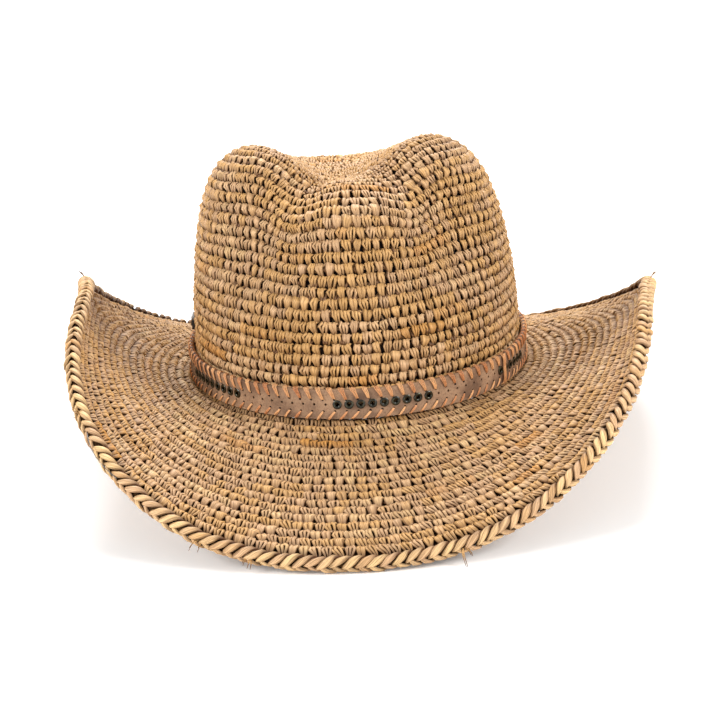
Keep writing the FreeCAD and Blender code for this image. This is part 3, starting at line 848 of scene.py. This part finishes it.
def makeTip():
    form = tipForm
    climb = crownClimbs(crownRows["pitch"])[-1]
    ring = crownPoint(np.linspace(0, fullTurn, 8, endpoint=False), np.full(8, climb))
    centre = ring.mean(0) + headCentre
    strands = []
    for step in range(form["strands"]):
        turn = fullTurn * step / form["strands"]
        reach = np.array([math.cos(turn), math.sin(turn), 0])
        path = [centre + reach * (form["reach"] * share)
                + np.array([0, 0, form["rise"] * (1 - share) ** 2]) for share in form["shares"]]
        strands.append(strandTube(np.array(path), form["halfWidths"], form["thick"],
                                  flatSection))
    mesh = joinStrands("crown_tip", strands)
    for name, value in form["shade"].items():
        layer = mesh.attributes.new(name, "FLOAT", "POINT")
        layer.data.foreach_set("value", np.full(len(mesh.vertices), value, np.float32))
    piece = plainObject("crown_tip", mesh, finishes["raffia"])
    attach(piece, "root")


brimRows = {"spacing": 0.0054, "rows": 18, "overlapWide": 1.08, "overlapTall": 1.06,
            "depth": 0.0032, "lift": -0.0013, "seed": 23, "underSpacing": 0.0062,
            "underRows": 16, "underSeed": 32, "edgingCover": 0.42}


def brimReaches(rows):
    # the rows end where the edging begins to cover them
    covered = brimForm["edging"] * brimRows["edgingCover"] / brimForm["front"]
    return np.linspace(0.0, 1 - covered, rows + 1)


def makeBrimStitches():
    form = brimRows
    chance = np.random.default_rng(form["seed"])
    reaches = brimReaches(form["rows"])
    rows = [layRow(brimPoint, outer, inner, form["spacing"], False, chance)
            for inner, outer in zip(reaches, reaches[1:])]
    guide = stretchGuide(joinRows(rows), form)
    laySectors("brim", guide, "brim", "brimRaffia",
               {"Depth": form["depth"], "Seed": form["seed"], **jitter})
    reaches = brimReaches(form["underRows"])
    rows = [layRow(brimInset(brimForm["wall"]), outer, inner, form["underSpacing"], True, chance)
            for inner, outer in zip(reaches, reaches[1:])]
    guide = stretchGuide(joinRows(rows), form)
    laySectors("brim_under", guide, "plain", "brimRaffia",
               {"Depth": form["depth"], "Seed": form["underSeed"], **jitter})


# a thin dark shell of painted shade inside the brim, which shows in the gaps between its stitches
brimGapShadeForm = {"top": 0.0018, "bottom": 0.0022, "firstReach": -0.02, "around": 180, "levels": 40}


def makeBrimGapShade():
    form = brimGapShadeForm
    angles = np.linspace(0, fullTurn, form["around"], endpoint=False)[:, None]
    reaches = np.linspace(form["firstReach"], brimReaches(1)[-1], form["levels"])[None, :]
    top = brimInset(form["top"])(angles, reaches)
    bottom = brimInset(form["bottom"])(angles, reaches)
    rings = np.concatenate([top, bottom[:, ::-1]], axis=1) + headCentre
    core = closedGrid("brim_core", rings, finishes["brimGapShade"])
    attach(core, "root")
    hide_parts("brim")


makeCrownGapShade()
makeCrownStitches()
makeCrownLining()
makeTip()
makeBrimGapShade()
makeBrimStitches()
print("crochet laid")


# rolled edging: a plait of fat strands that meet in chevrons along the outer edge
edgingForm = {"pitch": 0.0058, "radius": 0.0031, "halfWidth": 0.0015, "thick": 0.0011,
              "core": 0.0024, "variants": 5, "seed": 31, "lag": 0.22, "rings": 8,
              "turns": (-18, 20, 62, 108, 155), "along": (-0.85, -0.45, 0.10, 0.62, 1.05),
              "reaches": (0.72, 1.0, 1.06, 0.98, 0.72), "amberChance": 0.04, "amber": 0.6,
              "taper": (0.4, 0.8, 1.1, 1.25, 1.2, 0.95, 0.65, 0.3), "coreSides": 10,
              "coreRings": 360, "samples": 2881}
edgingJitter = {"Turn jitter": 0.14, "Size jitter": 0.09, "Shift jitter": 0.0003}


def makePlaitLink(index):
    form = edgingForm
    chance = np.random.default_rng(form["seed"] + index)
    strands = []
    for side in (1, -1):
        turns = np.radians(form["turns"]) + chance.normal(0, 0.06, len(form["turns"]))
        along = np.array(form["along"]) + form["lag"] * (side < 0)
        along = (along + chance.normal(0, 0.03, len(along))) * form["pitch"]
        reach = form["radius"] * np.array(form["reaches"])
        path = np.stack([along, side * np.sin(turns) * reach, np.cos(turns) * reach], -1)
        facing = smoothPath(np.stack([0 * turns, side * np.sin(turns), np.cos(turns)], -1),
                            form["rings"])
        widths = form["halfWidth"] * chance.uniform(0.92, 1.08) * np.array(form["taper"])
        strands.append(strandTube(smoothPath(path, form["rings"]), widths, form["thick"],
                                  flatSection, facing))
    return joinStrands("link", strands)


def edgeGuide(pitch):
    fine = np.linspace(0, fullTurn, edgingForm["samples"])
    line = edgeCentre(fine)
    lengths = lengthsAlong(line)
    count = round(lengths[-1] / pitch)
    angle = np.interp(np.arange(count) / count * lengths[-1], lengths, fine)
    ones = np.ones_like(angle)
    return {"point": edgeCentre(angle) + headCentre, "along": edgeAlong(angle),
            "outward": edgeOutward(angle), "wide": ones, "tall": ones}


def makeEdging():
    form = edgingForm
    chance = np.random.default_rng(form["seed"])
    guide = edgeGuide(form["pitch"])
    count = len(guide["point"])
    guide["tone"] = chance.uniform(0.3, 1.0, count)
    guide["warmth"] = (chance.random(count) < form["amberChance"]) * form["amber"]
    links = shapeCollection("link", [makePlaitLink(index) for index in range(form["variants"])])
    braid = layShapes("edging_plait", guide, links, finishes["edging"],
                      {"Depth": 1.0, "Seed": form["seed"], **edgingJitter})
    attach(braid, "root")
    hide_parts("brim_edging")
    # a dark tube of painted shade inside the plait, which shows between its links
    angles = np.linspace(0, fullTurn, form["coreRings"], endpoint=False)
    centre = edgeCentre(angles)
    outward = edgeOutward(angles)
    rise = np.cross(outward, edgeAlong(angles))
    turns = np.linspace(0, fullTurn, form["coreSides"], endpoint=False)
    rings = (centre[:, None] + outward[:, None] * (np.cos(turns) * form["core"])[None, :, None]
             + rise[:, None] * (np.sin(turns) * form["core"])[None, :, None]) + headCentre
    core = closedGrid("edging_core", rings, finishes["brimGapShade"])
    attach(core, "root")


makeEdging()
print("edging laid")


# loose ends: frayed raffia along the edging, a stray fibre on the crown, a loop of thin wire
looseForm = {
    "frays": [(-100, 0.006), (-46, 0.004), (-21, 0.007), (-14, 0.005), (15, 0.007), (94, 0.008)],
    "fray": (0.0005, 0.00016), "fibres": [(131, 0.88, 0.016), (126, 0.90, 0.010)],
    "fibre": (0.00016, 0.00010), "wire": (-43, -35, 0.0035, 0.00022), "seed": 61,
    "threads": 4, "frayStart": 0.0026, "fraySwing": 0.0012, "wireStart": 0.0030,
}


def makeLooseEnds():
    form = looseForm
    chance = np.random.default_rng(form["seed"])
    strands = []
    for degrees, length in form["frays"]:
        angle = math.radians(degrees)
        outward, sideways = edgeOutward(angle), edgeAlong(angle)
        below = -brimUpward(angle, 1.0)
        start = edgeCentre(angle) + outward * form["frayStart"]
        for _ in range(form["threads"]):
            swing, sag = chance.uniform(-1, 1), chance.uniform(0.1, 0.9)
            path = [start + sideways * (form["fraySwing"] * swing)
                    + length * (outward * reach + below * (sag * reach * reach)
                                + sideways * (swing * 0.8 * reach * (1.4 - reach)))
                    for reach in np.linspace(-0.15, chance.uniform(0.6, 1.0), 7)]
            strands.append(strandTube(np.array(path) + headCentre,
                                      np.linspace(form["fray"][0], form["fray"][1], 7),
                                      form["fray"][1], thinSection))
    for degrees, climb, length in form["fibres"]:
        angle = math.radians(degrees)
        up = surfaceNormal(crownPoint, angle, climb)
        sideways = np.array([-1.0, 0.2, 0.0])
        path = [crownPoint(angle, climb) + length * (up * reach * (1.1 - 0.6 * reach)
                                                     + sideways * 0.7 * reach * reach)
                for reach in np.linspace(-0.1, 1, 9)]
        strands.append(strandTube(np.array(path) + headCentre, np.full(9, form["fibre"][0]),
                                  form["fibre"][1], thinSection))
    ends = plainObject("loose_ends", joinStrands("looseEnds", strands), finishes["edging"])
    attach(ends, "root")
    first, last, bulge, radius = form["wire"]
    places = np.linspace(0, 1, 17)
    angles = np.radians(mix(first, last, places))
    reach = form["wireStart"] + bulge * np.sin(places * math.pi)
    path = edgeCentre(angles) + edgeOutward(angles) * reach[:, None] + headCentre
    loop = joinStrands("looseWire", [strandTube(path, np.full(17, radius), radius, thinSection)])
    wire = plainObject("loose_wire", loop, finishes["wire"])
    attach(wire, "root")


makeLooseEnds()
print("loose ends laid")


# leather band's lacing: bundles of thin waxed threads over both edges
bandForm = {"inner": 0.00165, "wall": 0.0018, "low": 0.0021, "height": 0.015, "pitches": 104,
            "seam": 58, "samples": 4161}


def bandPlaces(places):
    # angles at places counted in pitches from the seam, evenly spaced along the outer face
    form = bandForm
    start = math.radians(form["seam"])
    fine = np.linspace(start, start + fullTurn, form["samples"])
    line = ovalPoint(fine, form["inner"] + form["wall"])
    lengths = lengthsAlong(line)
    share = (np.asarray(places, float) / form["pitches"]) % 1.0
    return np.interp(share * lengths[-1], lengths, fine)


def bandGuide(places, height):
    angle = bandPlaces(places)
    offset = bandForm["inner"] + bandForm["wall"]
    outward = ovalNormal(angle)
    along = np.stack([-outward[:, 1], outward[:, 0], 0 * angle], -1)
    ones = np.ones_like(angle)
    return {"point": ovalPoint(angle, offset, height) + headCentre, "along": along,
            "outward": outward, "wide": ones, "tall": ones}


# line: across, up and out in millimetres from the edge; fan: spread of the threads there
lacingForm = {
    "top": {"threads": 4, "fan": (0.2, 0.3, 0.5, 0.68, 0.7, 0.6, 0.5),
            "line": [(1.3, -5.1, -0.7), (1.2, -4.7, 0.3), (0.5, -2.6, 0.55), (-0.5, -0.5, 0.55),
                     (-0.9, 0.75, -0.5), (-1.0, 0.2, -2.0), (-1.0, -1.4, -2.2)]},
    "bottom": {"threads": 3, "fan": (0.15, 0.25, 0.48, 0.5, 0.5, 0.5, 0.4),
               "line": [(1.6, 3.5, -0.7), (1.5, 3.2, 0.3), (0.3, 1.8, 0.55), (-1.0, 0.3, 0.5),
                        (-1.5, -0.6, -0.5), (-1.5, -0.1, -2.0), (-1.4, 1.2, -2.2)]},
    "seam": {"threads": 4, "fan": (0.7,) * 8,
             "line": [(0.0, -1.6, -2.3), (0.0, -0.9, -0.6), (0.0, 0.5, 1.1), (0.05, 5.0, 1.0),
                      (-0.05, 10.0, 1.0), (0.0, 14.8, 1.1), (0.0, 16.0, -0.5), (0.0, 15.0, -2.3)]},
    "thread": 0.00022, "wobble": 0.07, "stagger": 0.1, "rings": 9, "variants": 5, "seed": 3,
    "seamShape": 8, "seamSeed": 1,
}
lacingJitter = {"Turn jitter": 0.07, "Size jitter": 0.05, "Shift jitter": 0.0001}
still = {"Turn jitter": 0.0, "Size jitter": 0.0, "Shift jitter": 0.0}
millimetre = 0.001


def threadBundle(name, route, seed):
    form = lacingForm
    chance = np.random.default_rng(seed)
    strands = []
    for thread in range(route["threads"]):
        place = thread - (route["threads"] - 1) / 2
        path = np.array([(x + place * spread, y, z)
                         for (x, y, z), spread in zip(route["line"], route["fan"])])
        path += chance.normal(0, form["wobble"], path.shape)
        path[:, 2] += form["stagger"] * (thread % 2)
        strands.append(strandTube(smoothPath(path, form["rings"]) * millimetre,
                                  [form["thread"]] * form["rings"], form["thread"],
                                  roundSection))
    return joinStrands(name, strands)


def makeLacing():
    form = lacingForm
    places = np.arange(bandForm["pitches"])
    for name, node, route, height in (
            ("lacing_top", "band_top_lacing", form["top"], bandForm["low"] + bandForm["height"]),
            ("lacing_bottom", "band_bottom_lacing", form["bottom"], bandForm["low"])):
        kinds = shapeCollection(name, [threadBundle(name, route, seed)
                                       for seed in range(form["variants"])])
        piece = layShapes(name, bandGuide(places, height), kinds, finishes["lacing"],
                          {"Depth": 1.0, "Seed": form["seed"], **lacingJitter})
        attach(piece, "root")
        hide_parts(node)
    wrap = shapeCollection("wrap", [threadBundle("wrap", form["seam"], form["seamShape"])])
    piece = layShapes("seam_wrap", bandGuide(np.array([0.0]), bandForm["low"]), wrap,
                      finishes["lacing"], {"Depth": 1.0, "Seed": form["seamSeed"], **still})
    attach(piece, "root")
    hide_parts("band_seam_wrap")


# small punched holes that the threads go down into, shifted along by a share of the pitch; each is a
# dark disc of painted shade, for the shade inside the hole
holeForm = {"radius": 0.0006, "sides": 8, "middleRise": 0.00008, "rimRise": 0.00004,
            "belowTop": 0.0053, "aboveBottom": 0.0037, "topShift": 1.55 / 5.9,
            "bottomShift": 1.75 / 5.9, "seed": 2}
holeJitter = {"Turn jitter": 0.0, "Size jitter": 0.1, "Shift jitter": 0.00003}


def makeLacingHoles():
    form, sides = holeForm, holeForm["sides"]
    disc = [(math.cos(turn) * form["radius"], math.sin(turn) * form["radius"], form["rimRise"])
            for turn in np.linspace(0, fullTurn, sides + 1)[:-1]]
    mesh = meshFrom("hole", [(0, 0, form["middleRise"])] + disc,
                    [(0, 1 + k, 1 + (k + 1) % sides) for k in range(sides)])
    holes = shapeCollection("hole", [mesh])
    places = np.arange(bandForm["pitches"])
    top = bandGuide(places + form["topShift"],
                    bandForm["low"] + bandForm["height"] - form["belowTop"])
    bottom = bandGuide(places + form["bottomShift"], bandForm["low"] + form["aboveBottom"])
    piece = layShapes("lacing_holes", joinRows([top, bottom]), holes, finishes["core"],
                      {"Depth": 1.0, "Seed": form["seed"], **holeJitter})
    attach(piece, "root")


makeLacing()
makeLacingHoles()
print("lacing made")


# sweatband: a folded strip of twill inside the head line
# hems: level, spread and extra thickness, as a share of the wall
sweatForm = {"low": 0.002, "height": 0.030, "gap": 0.0035, "wall": 0.0014, "thin": 0.6,
             "hems": ((0.06, 0.05, 0.25), (0.95, 0.04, 0.35)), "around": 240, "levels": 13,
             "ribsAround": 90, "ribsUp": 30}


def makeSweatband():
    form = sweatForm
    angles = np.linspace(0, fullTurn, form["around"], endpoint=False)
    levels = np.linspace(0, 1, form["levels"])
    climbs = np.arctan((form["low"] + form["height"] * levels) / crownForm["height"])
    hem = sum(extra * np.exp(-((levels - level) / spread) ** 2)
              for level, spread, extra in form["hems"])
    near = form["gap"] + 0 * levels
    far = form["gap"] + form["wall"] * (form["thin"] + hem)
    climbs = np.concatenate([climbs, climbs[::-1]])
    insets = np.concatenate([near, far[::-1]])
    rise = np.concatenate([levels, levels[::-1]])
    angleGrid = angles[:, None] + 0 * climbs[None, :]
    climbGrid = climbs[None, :] + 0 * angles[:, None]
    normal = surfaceNormal(crownPoint, angleGrid, climbGrid)
    rings = crownPoint(angleGrid, climbGrid) - normal * insets[None, :, None] + headCentre
    fields = {"across": np.repeat(angles * form["ribsAround"], len(climbs)),
              "run": np.tile(rise * form["ribsUp"], len(angles))}
    band = closedGrid("sweatband_twill", rings, finishes["twill"], fields)
    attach(band, "root")
    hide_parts("sweatband")


makeSweatband()
print("sweatband made")


# CAD nodes that stay
stay = {
    "hat_band": "leather", "side_tab": "darkLeather", "side_tab_stitches": "thread",
    "band_tacks": "thread", "sweatband_stitches": "thread", "brim_wire": "wire",
    "wire_sleeve": "sleeve",
}
for name, node in frame["nodes"].items():
    finish = "eyelet" if name.startswith("eyelet") else stay.get(name)
    if finish:
        node.data.materials.clear()
        node.data.materials.append(finishes[finish])


# floor, light and camera
studio = {"floorSize": 14.0, "floorDrop": 0.0004, "floorGlow": 0.12, "skyStrength": 0.55,
          "keyPower": 50.0, "lampAim": (0, 0, 0.08)}
# each lamp's name, place, size and share of the key power
lamps = (("overhead", (-0.1, 1.25, 1.7), 1.1, 1.0),
         ("leftSide", (-1.6, -0.8, 1.0), 0.8, 0.6),
         ("rightSide", (1.6, -0.7, 1.0), 0.8, 0.62))


def makeStudio():
    half, drop = studio["floorSize"] / 2, -studio["floorDrop"]
    floorMesh = meshFrom("floor", [(-half, -half, drop), (half, -half, drop),
                                   (half, half, drop), (-half, half, drop)], [(0, 1, 2, 3)])
    material, graph = newMaterial("PaleFloor")
    finishMaterial(graph, {"Base Color": (0.93, 0.93, 0.93, 1), "Roughness": 0.9,
                           "Specular IOR Level": 0.1, "Emission Color": (1, 1, 1, 1),
                           "Emission Strength": studio["floorGlow"]})
    floor = plainObject("floor", floorMesh, material)
    world = bpy.data.worlds.new("Studio")
    world.use_nodes = True
    background = world.node_tree.nodes["Background"]
    background.inputs["Color"].default_value = (1, 1, 1, 1)
    background.inputs["Strength"].default_value = studio["skyStrength"]
    bpy.context.scene.world = world
    for name, place, size, share in lamps:
        lamp = bpy.data.lights.new(name, "AREA")
        lamp.energy, lamp.size = studio["keyPower"] * share, size
        light = bpy.data.objects.new(name, lamp)
        light.location = place
        aim = Vector(studio["lampAim"]) - Vector(place)
        light.rotation_euler = aim.to_track_quat("-Z", "Y").to_euler()
        bpy.context.scene.collection.objects.link(light)
    bpy.context.scene.view_settings.view_transform = "Standard"


cameraForm = {"azimuth": 2.314, "elevation": 16.616, "roll": 3.028, "distance": 1.430,
              "lens": 133.49, "aim": (0.00058, -0.00003, 0.0006)}


def makeCamera():
    form = cameraForm
    azimuth, elevation, roll = (math.radians(form[key]) for key in ("azimuth", "elevation", "roll"))
    back = Vector((math.sin(azimuth) * math.cos(elevation),
                   -math.cos(azimuth) * math.cos(elevation), math.sin(elevation)))
    level = (-back).cross(Vector((0, 0, 1))).normalized()
    rise = level.cross(-back)
    right = level * math.cos(roll) - rise * math.sin(roll)
    up = level * math.sin(roll) + rise * math.cos(roll)
    camera = bpy.data.objects.new("camera", bpy.data.cameras.new("camera"))
    camera.data.lens = form["lens"]
    camera.data.sensor_width = 36
    turn = Matrix((right, up, back)).transposed().to_4x4()
    place = Vector(headCentre) + Vector(form["aim"]) + back * form["distance"]
    camera.matrix_world = Matrix.Translation(place) @ turn
    bpy.context.scene.collection.objects.link(camera)
    bpy.context.scene.camera = camera


makeStudio()
makeCamera()
print("studio ready")
